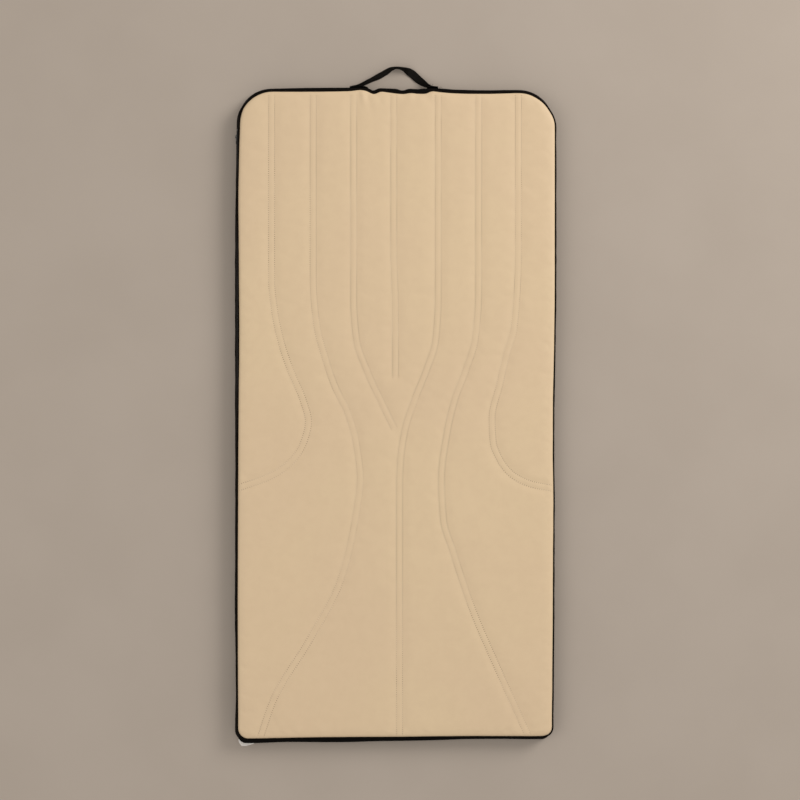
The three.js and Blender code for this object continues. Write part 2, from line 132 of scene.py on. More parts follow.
# The quilting seams' middle lines, from the head end to the foot end.
SEAMS = [
    [(-343, 884), (-343, 374), (-335, 291), (-318, 208), (-291, 125), (-256, 42), (-241, -18), (-257, -83),
     (-285, -125), (-338, -166), (-432, -201)],
    [(-228, 884), (-228, 374), (-218, 249), (-197, 166), (-169, 83), (-130, 0), (-108, -83), (-98, -172),
     (-112, -291), (-152, -457), (-238, -623), (-338, -789), (-371, -884)],
    [(-116, 884), (-116, 320), (-108, 208), (-80, 125), (-42, 42), (-6, -33)],
    [(-5, 884), (-5, 440), (-1, 320), (0, 108)],
    [(118, 884), (118, 330), (111, 208), (86, 125), (53, 42), (26, -42), (14, -125), (11, -200), (11, -884)],
    [(230, 884), (230, 340), (220, 208), (195, 125), (164, 42), (144, -42), (127, -180), (133, -291),
     (158, -374), (214, -540), (285, -706), (365, -884)],
    [(340, 884), (340, 457), (329, 249), (307, 166), (288, 83), (267, -10), (270, -72), (290, -125),
     (324, -166), (374, -191), (432, -203)],
]


# ---- curves and outlines ----

def smooth_through(knots, values, at):
    """A smooth curve through a few values that never swings past them."""
    knots, values, at = (np.asarray(x, float) for x in (knots, values, at))
    steps = np.diff(knots)
    rises = np.diff(values) / steps
    slopes = np.concatenate([rises[:1], np.zeros(len(rises) - 1), rises[-1:]])
    weight_a = 2 * steps[1:] + steps[:-1]
    weight_b = steps[1:] + 2 * steps[:-1]
    same = rises[:-1] * rises[1:] > 0
    before, after = rises[:-1][same], rises[1:][same]
    slopes[1:-1][same] = (weight_a + weight_b)[same] / (weight_a[same] / before + weight_b[same] / after)
    i = np.clip(np.searchsorted(knots, at) - 1, 0, len(steps) - 1)
    t = np.clip((at - knots[i]) / steps[i], 0, 1)
    start = (1 + 2 * t) * (1 - t) ** 2 * values[i] + t * (1 - t) ** 2 * steps[i] * slopes[i]
    end = t * t * (3 - 2 * t) * values[i + 1] + t * t * (t - 1) * steps[i] * slopes[i + 1]
    return start + end


def lengths_along(points):
    return np.concatenate([[0], np.cumsum(np.linalg.norm(np.diff(points, axis=0), axis=1))])


def evenly(points, count):
    """count + 1 points at equal distances along a line of points."""
    along = lengths_along(points)
    at = np.linspace(0, along[-1], count + 1)
    return np.stack([np.interp(at, along, column) for column in points.T], axis=1)


def smooth_line(points, spacing):
    """A smooth line through a few points, as points about so far apart."""
    points = np.array(points, float)
    along = lengths_along(points)
    fine = np.linspace(0, along[-1], int(along[-1] / 0.5) + 2)
    line = np.stack([smooth_through(along, column, fine) for column in points.T], axis=1)
    return evenly(line, max(2, round(lengths_along(line)[-1] / spacing)))


def directions(line):
    """The unit direction at each point of a line."""
    along = np.gradient(line, axis=0)
    return along / np.linalg.norm(along, axis=1)[:, None]


def round_trip(line):
    """The unit outward normals of a closed anticlockwise outline."""
    along = np.roll(line, -1, axis=0) - np.roll(line, 1, axis=0)
    along /= np.linalg.norm(along, axis=1)[:, None]
    return np.stack([along[:, 1], -along[:, 0]], axis=1)


def plain_side(length, start_radius, end_radius):
    """One side of a rounded rectangle from the middle of one corner to the middle of the next.

    Points are (along the side, outward); both are 0 at the sharp corner that the side would start from.
    """
    angles = np.linspace(math.pi / 4, 0, 24)
    start = [(start_radius * (1 - math.sin(a)), start_radius * (math.cos(a) - 1)) for a in angles]
    end = [(length - end_radius * (1 - math.sin(a)), end_radius * (math.cos(a) - 1)) for a in angles[::-1]]
    straight = np.linspace(start_radius, length - end_radius, 400)[1:-1]
    return np.array(start + [(s, 0) for s in straight] + end)


def quilt_outline(half_length, lean, sides, columns, rows):
    """A quilt's outline, evenly spaced and anticlockwise from the middle of the foot's left corner."""
    width, length = 2 * HALF_WIDTH, 2 * half_length
    frames = [
        ("foot", (-1, -1), (1, 0), (0, -1), width, FOOT_RADIUS, FOOT_RADIUS, columns),
        ("right", (1, -1), (0, 1), (1, 0), length, FOOT_RADIUS, HEAD_RADIUS, rows),
        ("head", (1, 1), (-1, 0), (0, 1), width, HEAD_RADIUS, HEAD_RADIUS, columns),
        ("left", (-1, 1), (0, -1), (-1, 0), length, HEAD_RADIUS, FOOT_RADIUS, rows),
    ]
    parts = []
    for name, corner, forward, outward, span, start_radius, end_radius, count in frames:
        plain = plain_side(span, start_radius, end_radius)
        origin = np.array(corner) * (HALF_WIDTH, half_length)
        line = origin + plain[:, :1] * forward + plain[:, 1:] * outward
        place = line[:, 0] if name in ("foot", "head") else line[:, 1]
        knots, values = zip(*sides[name])
        wander = smooth_through(knots, values, np.clip(place, knots[0], knots[-1]))
        fade = np.clip((plain[:, 1] + 12) / 12, 0, 1)
        line = line + (wander * fade)[:, None] * outward
        u = (line[:, :1] / HALF_WIDTH + 1) / 2
        v = (line[:, 1:] / half_length + 1) / 2
        corner_lean = {key: np.array(value) for key, value in lean.items()}
        foot = (1 - u) * corner_lean["foot_left"] + u * corner_lean["foot_right"]
        head = (1 - u) * corner_lean["head_left"] + u * corner_lean["head_right"]
        parts.append(evenly(line + (1 - v) * foot + v * head, count)[:-1])
    return np.concatenate(parts)


def edge_at(outline, places):
    """The x of an outline's right edge at these places along Y."""
    right = outline[outline[:, 0] > 0.9 * HALF_WIDTH]
    right = right[np.argsort(right[:, 1])]
    return np.interp(places, right[:, 1], right[:, 0])


def base_outline(columns, rows):
    """The base's outline, drawn in along the fold so that the opened cover lies flat beside it."""
    outline = quilt_outline(BASE_HALF_LENGTH, BASE_LEAN, BASE_SIDES, columns, rows)
    limit = 2 * FOLD_AXIS - FOLD_GAP - edge_at(COVER_FINE, outline[:, 1])
    beside = outline[:, 0] > 0.9 * HALF_WIDTH
    outline[beside, 0] = np.minimum(outline[beside, 0], limit[beside])
    return outline


def inset(outline, distance):
    return outline - round_trip(outline) * distance


def bumps(points, size, strength, seed=0.0):
    """Smooth unevenness at each point: size is the distance between bumps, strength their height."""
    return strength * np.array([noise.noise(p) for p in (points / size + 7.31 * seed).tolist()])


# ---- meshes ----

def to_mesh(name, points, faces, look, smooth=True):
    """A mesh object from points in millimetres."""
    mesh = bpy.data.meshes.new(name)
    mesh.from_pydata((np.asarray(points, float) * MM).tolist(), [], faces)
    mesh.polygons.foreach_set("use_smooth", [smooth] * len(mesh.polygons))
    mesh.materials.append(look)
    mesh.update()
    piece = bpy.data.objects.new(name, mesh)
    bpy.context.scene.collection.objects.link(piece)
    return piece


def points_of(piece):
    found = np.zeros(len(piece.data.vertices) * 3)
    piece.data.vertices.foreach_get("co", found)
    return found.reshape(-1, 3) / MM


def set_points(piece, points):
    piece.data.vertices.foreach_set("co", (points * MM).ravel())
    piece.data.update()


def set_attribute(piece, name, values):
    """A number for each vertex that a material can read."""
    layer = piece.data.attributes.new(name, "FLOAT", "POINT")
    layer.data.foreach_set("value", np.asarray(values, float))


def apply_modifiers(piece):
    """Puts the piece's modifiers into its mesh."""
    graph = bpy.context.evaluated_depsgraph_get()
    made = bpy.data.meshes.new_from_object(piece.evaluated_get(graph))
    piece.modifiers.clear()
    old = piece.data
    piece.data = made
    bpy.data.meshes.remove(old)


def filled(outline, rim, columns, rows, under=()):
    """A sheet that fills an outline: rings of (inset, z) from the edge inwards, then an even grid.

    With under, more rings lead down and in from the edge, for close_below. Returns points and faces.
    """
    count = len(outline)
    rings = [inset(outline, distance) for distance, _ in rim]
    points = [np.column_stack([ring, np.full(count, z)]) for ring, (_, z) in zip(rings, rim)]
    edge = rings[-1]
    foot, right = edge[:columns + 1], edge[columns:columns + rows + 1]
    head = edge[columns + rows:2 * columns + rows + 1][::-1]
    left = np.concatenate([edge[2 * columns + rows:], edge[:1]])[::-1]
    u = (np.arange(1, columns) / columns)[:, None, None]
    v = (np.arange(1, rows) / rows)[None, :, None]
    lengthwise = (1 - v) * foot[1:-1, None] + v * head[1:-1, None]
    crosswise = (1 - u) * left[None, 1:-1] + u * right[None, 1:-1]
    corners = (1 - v) * ((1 - u) * foot[0] + u * foot[-1]) + v * ((1 - u) * head[0] + u * head[-1])
    inside = (lengthwise + crosswise - corners).reshape(-1, 2)
    points.append(np.column_stack([inside, np.full(len(inside), rim[-1][1])]))

    grid = np.zeros((columns + 1, rows + 1), int)
    start = (len(rim) - 1) * count
    grid[:columns, 0] = start + np.arange(columns)
    grid[columns, :rows] = start + columns + np.arange(rows)
    grid[1:, rows] = start + columns + rows + np.arange(columns)[::-1]
    grid[0, 1:] = start + 2 * columns + rows + np.arange(rows)[::-1]
    grid[1:columns, 1:rows] = len(rim) * count + np.arange(len(inside)).reshape(columns - 1, rows - 1)

    faces = []
    for ring in range(len(rim) - 1):
        faces += band_faces(ring * count, (ring + 1) * count, count)
    cells = np.stack([grid[:-1, :-1], grid[1:, :-1], grid[1:, 1:], grid[:-1, 1:]], axis=-1)
    faces += cells.reshape(-1, 4).tolist()
    if under:
        below = sum(len(p) for p in points)
        points += [np.column_stack([inset(outline, distance), np.full(count, z)]) for distance, z in under]
        starts = [0] + [below + ring * count for ring in range(len(under))]
        for upper, lower in zip(starts[:-1], starts[1:]):
            faces += band_faces(lower, upper, count)
    return np.concatenate(points), faces


def band_faces(outer, inner, count):
    """Quads between two rings that start at these indices."""
    i = np.arange(count)
    j = (i + 1) % count
    return np.stack([outer + i, outer + j, inner + j, inner + i], axis=1).tolist()


def carried(outline, section):
    """Carries a closed section of (outward, z) points round an outline. It goes up on the outside."""
    normals = round_trip(outline)
    count = len(outline)
    points = [np.column_stack([outline + normals * out, np.full(count, z)]) for out, z in section]
    faces = []
    for ring in range(len(section)):
        faces += band_faces(ring * count, (ring + 1) % len(section) * count, count)
    return np.concatenate(points), faces


def lofted(sections, closed_section=True):
    """Joins sections, each an array of points, one after another, with an end face on closed ones."""
    sections = np.array(sections)
    count, around = sections.shape[:2]
    faces = []
    last = around if closed_section else around - 1
    for k in range(count - 1):
        for i in range(last):
            j = (i + 1) % around
            faces.append([k * around + i, k * around + j, (k + 1) * around + j, (k + 1) * around + i])
    if closed_section:
        faces.append(list(range(around))[::-1])
        faces.append([(count - 1) * around + i for i in range(around)])
    return sections.reshape(-1, 3), faces


def circle(centre, across, up, radius, sides):
    """Points round a centre, in the plane of two directions."""
    angles = [2 * math.pi * i / sides for i in range(sides)]
    return [centre + (across * math.cos(angle) + up * math.sin(angle)) * radius for angle in angles]


def close_below(piece):
    """Closes the one open edge of a piece with a flat face."""
    work = bmesh.new()
    work.from_mesh(piece.data)
    bmesh.ops.holes_fill(work, edges=[e for e in work.edges if e.is_boundary], sides=0)
    work.to_mesh(piece.data)
    work.free()


def outward_normals(piece):
    """Makes every face of closed parts point outwards."""
    work = bmesh.new()
    work.from_mesh(piece.data)
    bmesh.ops.recalc_face_normals(work, faces=work.faces)
    work.to_mesh(piece.data)
    work.free()


def closed_mesh(name, points, faces, look, smooth=True):
    """A mesh object made of closed parts, with every face pointing outwards."""
    piece = to_mesh(name, points, faces, look, smooth)
    outward_normals(piece)
    return piece


# ---- materials ----

class Look:
    """A node-based material round one Principled shader."""

    def __init__(self, name, **sockets):
        self.material = bpy.data.materials.new(name)
        self.material.use_nodes = True
        self.tree = self.material.node_tree
        self.shader = self.tree.nodes["Principled BSDF"]
        for socket, value in sockets.items():
            self.shader.inputs[socket.replace("_", " ")].default_value = value
        self.place = self.node("ShaderNodeTexCoord").outputs["Object"]
        self.normal = None

    def node(self, kind, inputs=None, **settings):
        made = self.tree.nodes.new(kind)
        for key, value in settings.items():
            setattr(made, key, value)
        for key, value in (inputs or {}).items():
            if isinstance(value, bpy.types.NodeSocket):
                self.tree.links.new(value, made.inputs[key])
            else:
                made.inputs[key].default_value = value
        return made

    def noise(self, scale, detail=2.0, roughness=0.5, where=None):
        inputs = {"Vector": where or self.place, "Scale": scale, "Detail": detail, "Roughness": roughness}
        return self.node("ShaderNodeTexNoise", inputs).outputs["Fac"]

    def cells(self, scale, feature="F1"):
        inputs = {"Vector": self.place, "Scale": scale}
        return self.node("ShaderNodeTexVoronoi", inputs, feature=feature).outputs["Distance"]

    def stretched(self, x, y, z):
        inputs = {"Vector": self.place, "Scale": (x, y, z)}
        return self.node("ShaderNodeMapping", inputs).outputs["Vector"]

    def number(self, name):
        return self.node("ShaderNodeAttribute", attribute_name=name).outputs["Fac"]

    def maths(self, operation, a, b=0.0):
        return self.node("ShaderNodeMath", {0: a, 1: b}, operation=operation).outputs[0]

    def times(self, a, b):
        return self.maths("MULTIPLY", a, b)

    def wave(self, value, pitch):
        """A sine that repeats each pitch of the value."""
        return self.maths("SINE", self.times(value, 2 * math.pi / pitch))

    def ease(self, value, low, high, to_low=0.0, to_high=1.0):
        inputs = {"Value": value, "From Min": low, "From Max": high, "To Min": to_low, "To Max": to_high}
        return self.node("ShaderNodeMapRange", inputs, interpolation_type="SMOOTHSTEP").outputs["Result"]

    def patchy(self, scale, detail, low, high):
        """Noise that runs smoothly between two values."""
        return self.ease(self.noise(scale, detail), 0.3, 0.7, low, high)

    def axis(self, which):
        return self.node("ShaderNodeSeparateXYZ", {0: self.place}).outputs[which]

    def mix(self, factor, first, second):
        inputs = {0: factor, 6: first, 7: second}        # the sockets that a colour mix uses
        return self.node("ShaderNodeMix", inputs, data_type="RGBA").outputs[2]

    def bump(self, height, distance, strength=1.0):
        """Adds relief; distance is in millimetres."""
        inputs = {"Height": height, "Distance": distance * MM, "Strength": strength}
        if self.normal is not None:
            inputs["Normal"] = self.normal
        self.normal = self.node("ShaderNodeBump", inputs).outputs["Normal"]

    def finish(self, colour=None, roughness=None):
        for socket, value in (("Base Color", colour), ("Roughness", roughness), ("Normal", self.normal)):
            if value is not None:
                self.tree.links.new(value, self.shader.inputs[socket])
        return self.material


def rgb(red, green, blue):
    """A colour given as ordinary 0-255 screen values."""
    linear = [v / 255 / 12.92 if v < 10 else ((v / 255 + 0.055) / 1.055) ** 2.4 for v in (red, green, blue)]
    return (*linear, 1.0)


def tan_leather():
    """Matte smooth tan leather, with painted shade in the stitched grooves and needle holes."""
    look = Look("tan_leather", Specular_IOR_Level=0.36)
    tone = look.ease(look.noise(2.2, 3), 0.3, 0.7)
    colour = look.mix(tone, rgb(219, 192, 157), rgb(221, 195, 158))
    mottle = look.ease(look.noise(46, 5, 0.6), 0.3, 0.75, 0, 0.3)
    colour = look.mix(mottle, colour, rgb(211, 184, 149))
    from_row = look.maths("ABSOLUTE", look.maths("SUBTRACT", look.number("seam_across"), SEAM_HALF_WIDTH))
    present = look.number("seam_here")
    uneven = look.ease(look.noise(9, 3), 0.36, 0.64, 0.15, 1)
    groove = look.times(look.ease(from_row, 0.3, 3.0, 1, 0), present)
    step = look.maths("FRACT", look.maths("DIVIDE", look.number("seam_along"), STITCH_PITCH))
    hole = look.times(look.ease(look.maths("ABSOLUTE", look.maths("SUBTRACT", step, 0.5)), 0.26, 0.4),
                      look.times(look.ease(from_row, 0.5, 1.5, 1, 0), present))
    # painted shade: the colour darkens slightly along the stitched grooves
    colour = look.mix(look.times(groove, 0.03), colour, rgb(188, 160, 126))
    # painted shade: the needle holes between the stitches are darkened, unevenly
    colour = look.mix(look.times(hole, uneven), colour, rgb(150, 124, 93))
    look.bump(look.cells(700, "SMOOTH_F1"), 0.14, 0.5)
    look.bump(look.noise(260, 4, 0.6), 0.12, 0.5)
    look.bump(look.times(groove, -1.0), 0.25, 0.5)
    look.bump(look.times(hole, -1.0), 0.6, 0.8)
    roughness = look.patchy(90, 3, 0.52, 0.62)
    return look.finish(colour, roughness)


def black_leather():
    """Black leather, a little worn at its creases."""
    look = Look("black_leather", Specular_IOR_Level=0.1)
    wear = look.ease(look.noise(30, 5, 0.65), 0.42, 0.8)
    colour = look.mix(wear, rgb(15, 12, 9), rgb(27, 22, 18))
    look.bump(look.cells(620, "SMOOTH_F1"), 0.2, 0.7)
    look.bump(look.noise(140, 4, 0.6), 0.25, 0.6)
    roughness = look.patchy(60, 3, 0.5, 0.66)
    return look.finish(colour, roughness)


def binding():
    """The black binding on the edges, a finely ribbed tape pulled round a cord."""
    look = Look("black_binding", Specular_IOR_Level=0.03)
    fibres = look.noise(900, 3, 0.7)
    colour = look.mix(fibres, rgb(12, 9, 6), rgb(21, 16, 11))
    look.bump(look.cells(1500), 0.18, 0.7)
    look.bump(look.noise(120, 3), 0.3, 0.6)
    return look.finish(colour, look.patchy(200, 2, 0.62, 0.8))


def webbing():
    """Woven black webbing: slanted picks across lengthwise ribs."""
    look = Look("black_webbing", Specular_IOR_Level=0.12)
    across, along = look.number("across"), look.number("along")
    ribs = look.wave(across, 1.6)
    slant = look.maths("ADD", along, look.times(look.maths("ABSOLUTE", ribs), 0.6))
    picks = look.wave(slant, 1.5)
    weave = look.times(ribs, picks)
    fibre = look.noise(1800, 2)
    lit = look.maths("ADD", look.ease(weave, -1, 1, 0, 0.7), look.times(fibre, 0.3))
    colour = look.mix(lit, rgb(10, 8, 6), rgb(32, 27, 22))
    look.bump(weave, 0.35, 0.9)
    return look.finish(colour, look.ease(fibre, 0.2, 0.8, 0.6, 0.8))


def woven(name, dark, light, thread):
    """Plain woven cloth with threads so many millimetres apart."""
    look = Look(name, Specular_IOR_Level=0.2)
    warp, weft, rise = (look.wave(look.axis(which), thread * MM) for which in "XYZ")
    weave = look.times(look.maths("ADD", warp, rise), weft)
    fibre = look.noise(700, 4, 0.7)
    shade = look.maths("ADD", look.ease(weave, -1.5, 1.5, 0, 0.5), look.times(fibre, 0.5))
    colour = look.mix(shade, dark, light)
    look.bump(weave, 0.25, 0.8)
    look.bump(look.noise(60, 3), 0.3, 0.5)
    return look.finish(colour, look.ease(fibre, 0.2, 0.8, 0.72, 0.88))


def lining():
    """Charcoal coated cloth, faintly creased, with a black band round its edge."""
    look = Look("charcoal_lining", Specular_IOR_Level=0.05)
    fibre = look.noise(500, 4, 0.6)
    colour = look.mix(fibre, rgb(34, 33, 34), rgb(56, 54, 55))
    beside = look.ease(look.maths("ABSOLUTE", look.axis("X")), 0.414, 0.424)
    at_end = look.ease(look.maths("ABSOLUTE", look.axis("Y")), 0.872, 0.882)
    binding_here = look.maths("MAXIMUM", beside, at_end)
    colour = look.mix(binding_here, colour, rgb(14, 11, 8))
    warp, weft = (look.wave(look.axis(which), 0.7 * MM) for which in "XY")
    look.bump(look.times(warp, weft), 0.08, 0.5)
    look.bump(look.noise(24, 4, 0.6), 1.2, 0.5)
    return look.finish(colour, look.patchy(40, 2, 0.48, 0.62))


def fluffy(name, dark, light, scale, relief):
    """Loose fibres: batting, felt and the pile of the closing strips."""
    look = Look(name, Specular_IOR_Level=0.15)
    tufts = look.noise(scale, 6, 0.75)
    colour = look.mix(look.ease(tufts, 0.3, 0.7), dark, light)
    look.bump(tufts, relief, 0.9)
    look.bump(look.cells(scale * 2.5), relief / 3, 0.7)
    return look.finish(colour, look.ease(tufts, 0.2, 0.8, 0.86, 0.98))


def moulded(name, dark, light, roughness, metallic=0.0, scale=120.0):
    """Plastic, rubber or metal with a faint texture and handling marks."""
    look = Look(name, Metallic=metallic)
    marks = look.noise(scale, 5, 0.65)
    colour = look.mix(look.ease(marks, 0.35, 0.7), dark, light)
    look.bump(look.noise(scale * 9, 3), 0.03, 0.6)
    return look.finish(colour, look.ease(marks, 0.3, 0.75, roughness - 0.07, roughness + 0.1))


def foil():
    """Crumpled metallised film."""
    look = Look("reflective_foil", Metallic=1.0)
    creases = look.cells(45, "DISTANCE_TO_EDGE")
    colour = look.mix(look.ease(look.noise(20, 3), 0.3, 0.7), rgb(196, 199, 204), rgb(222, 223, 226))
    look.bump(look.ease(creases, 0, 0.06), 0.6, 0.6)
    return look.finish(colour, look.patchy(50, 2, 0.18, 0.34))


def thread(name, dark, light):
    """Twisted sewing thread."""
    look = Look(name, Specular_IOR_Level=0.3)
    twist = look.noise(2600, 2, where=look.stretched(1, 0.4, 1))
    colour = look.mix(twist, dark, light)
    look.bump(twist, 0.12, 0.8)
    return look.finish(colour, look.ease(twist, 0.3, 0.7, 0.6, 0.75))


def label_cloth():
    """Pale woven satin, unprinted."""
    look = Look("label_cloth", Specular_IOR_Level=0.4)
    ribs = look.wave(look.axis("X"), 0.5 * MM)
    soft = look.noise(70, 3)
    colour = look.mix(look.ease(soft, 0.3, 0.7), rgb(234, 226, 216), rgb(243, 236, 228))
    look.bump(ribs, 0.06, 0.6)
    return look.finish(colour, look.ease(soft, 0.3, 0.7, 0.45, 0.6))


def floor_look():
    """Plain pale warm grey, with the faintest mottle."""
    look = Look("floor", Specular_IOR_Level=0.2)
    colour = look.mix(look.ease(look.noise(3, 4), 0.3, 0.7), rgb(176, 163, 150), rgb(179, 166, 153))
    look.bump(look.noise(80, 4), 0.2, 0.3)
    return look.finish(colour, look.patchy(10, 2, 0.78, 0.86))


LOOKS = {
    "tan_leather": tan_leather(),
    "black_leather": black_leather(),
    "black_piping": binding(),
    "webbing": webbing(),
    "liner": lining(),
    "batting": fluffy("polyester_batting", rgb(226, 223, 214), rgb(246, 244, 238), 120, 1.6),
    "foil": foil(),
    "scrim": woven("heater_scrim", rgb(212, 206, 192), rgb(238, 233, 222), 1.2),
    "felt": fluffy("cream_felt", rgb(200, 194, 180), rgb(224, 219, 207), 420, 0.5),
    "heating_wire": moulded("silicone_wire", rgb(150, 52, 36), rgb(178, 68, 48), 0.5),
    "sensor_resin": moulded("sensor_resin", rgb(24, 24, 26), rgb(40, 40, 42), 0.35),
    "lead_rubber": moulded("lead_rubber", rgb(20, 20, 20), rgb(36, 35, 34), 0.55),
    "zip_tape": woven("zip_tape", rgb(13, 11, 10), rgb(34, 30, 27), 0.7),
    "zip_coil": moulded("zip_coil", rgb(12, 12, 13), rgb(28, 28, 29), 0.32),
    "zip_metal": moulded("gunmetal", rgb(88, 86, 84), rgb(128, 125, 121), 0.3, 1.0, 300),
    "hook_and_loop": fluffy("hook_and_loop", rgb(12, 11, 11), rgb(36, 33, 32), 900, 0.8),
    "inlet_plastic": moulded("inlet_plastic", rgb(18, 18, 19), rgb(32, 32, 33), 0.42, scale=200),
    "contact_brass": moulded("contact_brass", rgb(190, 152, 82), rgb(214, 178, 106), 0.28, 1.0, 300),
    "label_cloth": label_cloth(),
    "tan_thread": thread("tan_thread", rgb(222, 198, 165), rgb(244, 227, 200)),
    "black_thread": thread("black_thread", rgb(12, 10, 9), rgb(44, 38, 34)),
}


# ---- camera, light and floor ----

def make_stage():
    """A plain floor, soft light from the right, and the camera straight overhead."""
    half = 40000
    floor = to_mesh("floor", [(-half, -half, 0), (half, -half, 0), (half, half, 0), (-half, half, 0)],
                    [[0, 1, 2, 3]], floor_look())

    lamps = [("key", (4300, 3000, 3300), 3000, 202), ("fill", (-2600, -600, 3600), 3200, 24)]
    for name, place, size, power in lamps:
        data = bpy.data.lights.new(name, "AREA")
        data.shape = "DISK"
        data.size = size * MM
        data.energy = power
        data.color = (1.0, 0.985, 0.965)
        lamp = bpy.data.objects.new(name, data)
        lamp.location = Vector(place) * MM
        lamp.rotation_euler = (-lamp.location).to_track_quat("-Z", "Y").to_euler()
        lamp.visible_camera = False
        bpy.context.scene.collection.objects.link(lamp)

    world = bpy.data.worlds.new("studio")
    world.use_nodes = True
    background = world.node_tree.nodes["Background"]
    background.inputs["Color"].default_value = (1.0, 0.99, 0.975, 1)
    background.inputs["Strength"].default_value = 0.58
    bpy.context.scene.world = world
    bpy.context.scene.view_settings.view_transform = "Standard"

    data = bpy.data.cameras.new("camera")
    data.sensor_width = 36
    data.lens = 36 * (CAMERA_HEIGHT - FACE_Z) / PICTURE_WIDTH
    data.clip_end = 60
    camera = bpy.data.objects.new("camera", data)
    camera.location = Vector((CAMERA_X, CAMERA_Y, CAMERA_HEIGHT)) * MM
    bpy.context.scene.collection.objects.link(camera)
    bpy.context.scene.camera = camera


# ---- seams ----

SEAM_STEP = 2.0


def seam_lines():
    """Each seam's points, sideways directions and distances along it."""
    lines = []
    for route in SEAMS:
        line = smooth_line(route, SEAM_STEP)
        forward = directions(line)
        lines.append((line, forward, np.stack([forward[:, 1], -forward[:, 0]], axis=1), lengths_along(line)))
    return lines


SEAM_LINES = seam_lines()


def nearest_seam(points):
    """For each point: distance to the side of the nearest seam, distance along it, and 1 beside it."""
    owners = [(s, k) for s, (line, *_) in enumerate(SEAM_LINES) for k in range(len(line))]
    tree = kdtree.KDTree(len(owners))
    for i, (s, k) in enumerate(owners):
        x, y = SEAM_LINES[s][0][k]
        tree.insert((x, y, 0), i)
    tree.balance()
    across, along, here = (np.zeros(len(points)) for _ in range(3))
    for n, (x, y) in enumerate(points[:, :2]):
        s, k = owners[tree.find((x, y, 0))[1]]
        line, forward, sideways, lengths = SEAM_LINES[s]
        away = np.array((x, y)) - line[k]
        ahead = away @ forward[k]
        across[n] = away @ sideways[k]
        along[n] = lengths[k] + ahead
        here[n] = np.clip(1 - (abs(ahead) - SEAM_STEP) / 6, 0, 1)
    return across, along, here


# ---- the quilts ----

def puff(piece, holds, pressure, slack, most):
    """Cloth simulation: fills the piece like a quilt between the seams that hold it down.

    holds is from 0, free, to 1, held, for each vertex. No point moves further than most.
    """
    rest = points_of(piece)
    group = piece.vertex_groups.new(name="held")
    for i, weight in enumerate(holds):
        if weight > 0.01:
            group.add([i], float(weight), "REPLACE")
    cloth = piece.modifiers.new("filling", "CLOTH")
    cloth.settings.quality = 4
    cloth.settings.mass = 0.25
    cloth.settings.tension_stiffness = 12
    cloth.settings.compression_stiffness = 12
    cloth.settings.shear_stiffness = 4
    cloth.settings.bending_stiffness = 0.4
    cloth.settings.use_pressure = True
    cloth.settings.uniform_pressure_force = pressure
    cloth.settings.shrink_min = -slack
    cloth.settings.vertex_group_mass = "held"
    cloth.settings.effector_weights.gravity = 0
    cloth.collision_settings.use_collision = False
    scene = bpy.context.scene
    for step in range(1, 21):
        scene.frame_set(step)
    graph = bpy.context.evaluated_depsgraph_get()
    made = np.zeros(len(rest) * 3)
    piece.evaluated_get(graph).data.vertices.foreach_get("co", made)
    moved = made.reshape(-1, 3) / MM - rest
    far = np.linalg.norm(moved, axis=1)
    moved *= (np.tanh(far / most) * most / np.maximum(far, 1e-9))[:, None]
    piece.modifiers.clear()
    piece.vertex_groups.clear()
    scene.frame_set(1)
    set_points(piece, rest + moved)


def subdivide(piece):
    piece.modifiers.new("smooth", "SUBSURF").levels = 1
    apply_modifiers(piece)


def dress(piece, slot, body, *nodes):
    """The piece rides on a body and stands for these CAD nodes; slot, a finish's name, is not used."""
    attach(piece, body)
    if nodes:
        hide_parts(*nodes)


COVER_OUTLINE = quilt_outline(COVER_HALF_LENGTH, COVER_LEAN, COVER_SIDES, COLUMNS, ROWS)
COVER_FINE = quilt_outline(COVER_HALF_LENGTH, COVER_LEAN, COVER_SIDES, 2 * COLUMNS, 2 * ROWS)
BASE_OUTLINE = base_outline(COLUMNS, ROWS)
BASE_FINE = base_outline(2 * COLUMNS, 2 * ROWS)


def handle_wrinkles(points):
    """Small folds where the handle pulls at the head edge: x, half width, depth, reach."""
    height = np.zeros(len(points))
    x, y = points[:, 0], points[:, 1]
    from_head = COVER_HALF_LENGTH - y
    folds = [(-104, 5, -1.2, 34), (-92, 5, 1.1, 30), (-78, 6, -1.5, 48), (-62, 7, 1.2, 36),
             (-44, 7, -0.9, 30), (22, 8, -1.0, 28), (42, 7, 0.9, 26), (60, 8, -0.9, 30), (92, 7, -0.8, 26)]
    for centre, half, depth, reach in folds:
        lean = 0.16 * from_head * np.sign(centre + 8)
        height += depth * np.exp(-((x - centre + lean) / half) ** 2) * np.exp(-(from_head / reach) ** 2)
    return height


